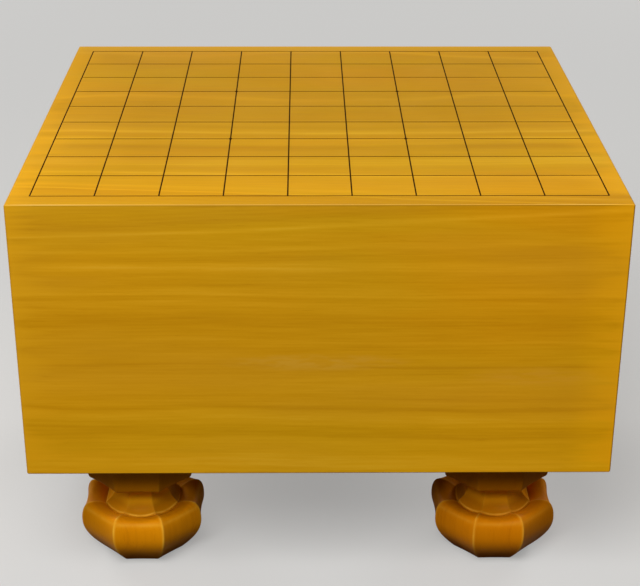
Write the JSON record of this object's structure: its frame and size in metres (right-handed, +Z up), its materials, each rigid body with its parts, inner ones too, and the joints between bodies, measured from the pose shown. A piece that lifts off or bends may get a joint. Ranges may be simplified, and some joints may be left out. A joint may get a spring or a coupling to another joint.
{
  "type": "shogi board",
  "caption": "Floor-standing shogi board: thick solid wooden block with a raised lacquer grid on top, on carved octagonal bud-shaped legs that pull out of sockets in its underside.",
  "frame": {"origin": "on the floor, under the centre of the block", "axes": "+Z up; +X along the grain and the files, from one player to the other; +Y along the ranks, away from the camera of the picture"},
  "size_m": [0.364, 0.333, 0.2703],
  "materials": {
    "block_wood": "satin, fine straight grain along X",
    "leg_wood": "satin, waxed, carved",
    "grid_lacquer": "gloss black-brown lacquer, raised"
  },
  "bodies": {
    "board": {"board_block": "block_wood", "file_line_1": "grid_lacquer", "file_line_2": "grid_lacquer", "file_line_3": "grid_lacquer", "file_line_4": "grid_lacquer", "file_line_5": "grid_lacquer", "file_line_6": "grid_lacquer", "file_line_7": "grid_lacquer", "file_line_8": "grid_lacquer", "file_line_9": "grid_lacquer", "file_line_10": "grid_lacquer", "rank_line_1": "grid_lacquer", "rank_line_2": "grid_lacquer", "rank_line_3": "grid_lacquer", "rank_line_4": "grid_lacquer", "rank_line_5": "grid_lacquer", "rank_line_6": "grid_lacquer", "rank_line_7": "grid_lacquer", "rank_line_8": "grid_lacquer", "rank_line_9": "grid_lacquer", "rank_line_10": "grid_lacquer", "star_point_1": "grid_lacquer", "star_point_2": "grid_lacquer", "star_point_3": "grid_lacquer", "star_point_4": "grid_lacquer"},
    "leg_front_left": {"leg_front_left": "leg_wood"},
    "leg_front_right": {"leg_front_right": "leg_wood"},
    "leg_rear_left": {"leg_rear_left": "leg_wood"},
    "leg_rear_right": {"leg_rear_right": "leg_wood"}
  },
  "joints": [
    {"name": "pull_front_left_leg", "type": "slide", "parent": "board", "child": "leg_front_left", "axis": [0, 0, -1], "range_m": [0, 0.035]},
    {"name": "pull_front_right_leg", "type": "slide", "parent": "board", "child": "leg_front_right", "axis": [0, 0, -1], "range_m": [0, 0.035]},
    {"name": "pull_rear_left_leg", "type": "slide", "parent": "board", "child": "leg_rear_left", "axis": [0, 0, -1], "range_m": [0, 0.035]},
    {"name": "pull_rear_right_leg", "type": "slide", "parent": "board", "child": "leg_rear_right", "axis": [0, 0, -1], "range_m": [0, 0.035]}
  ]
}
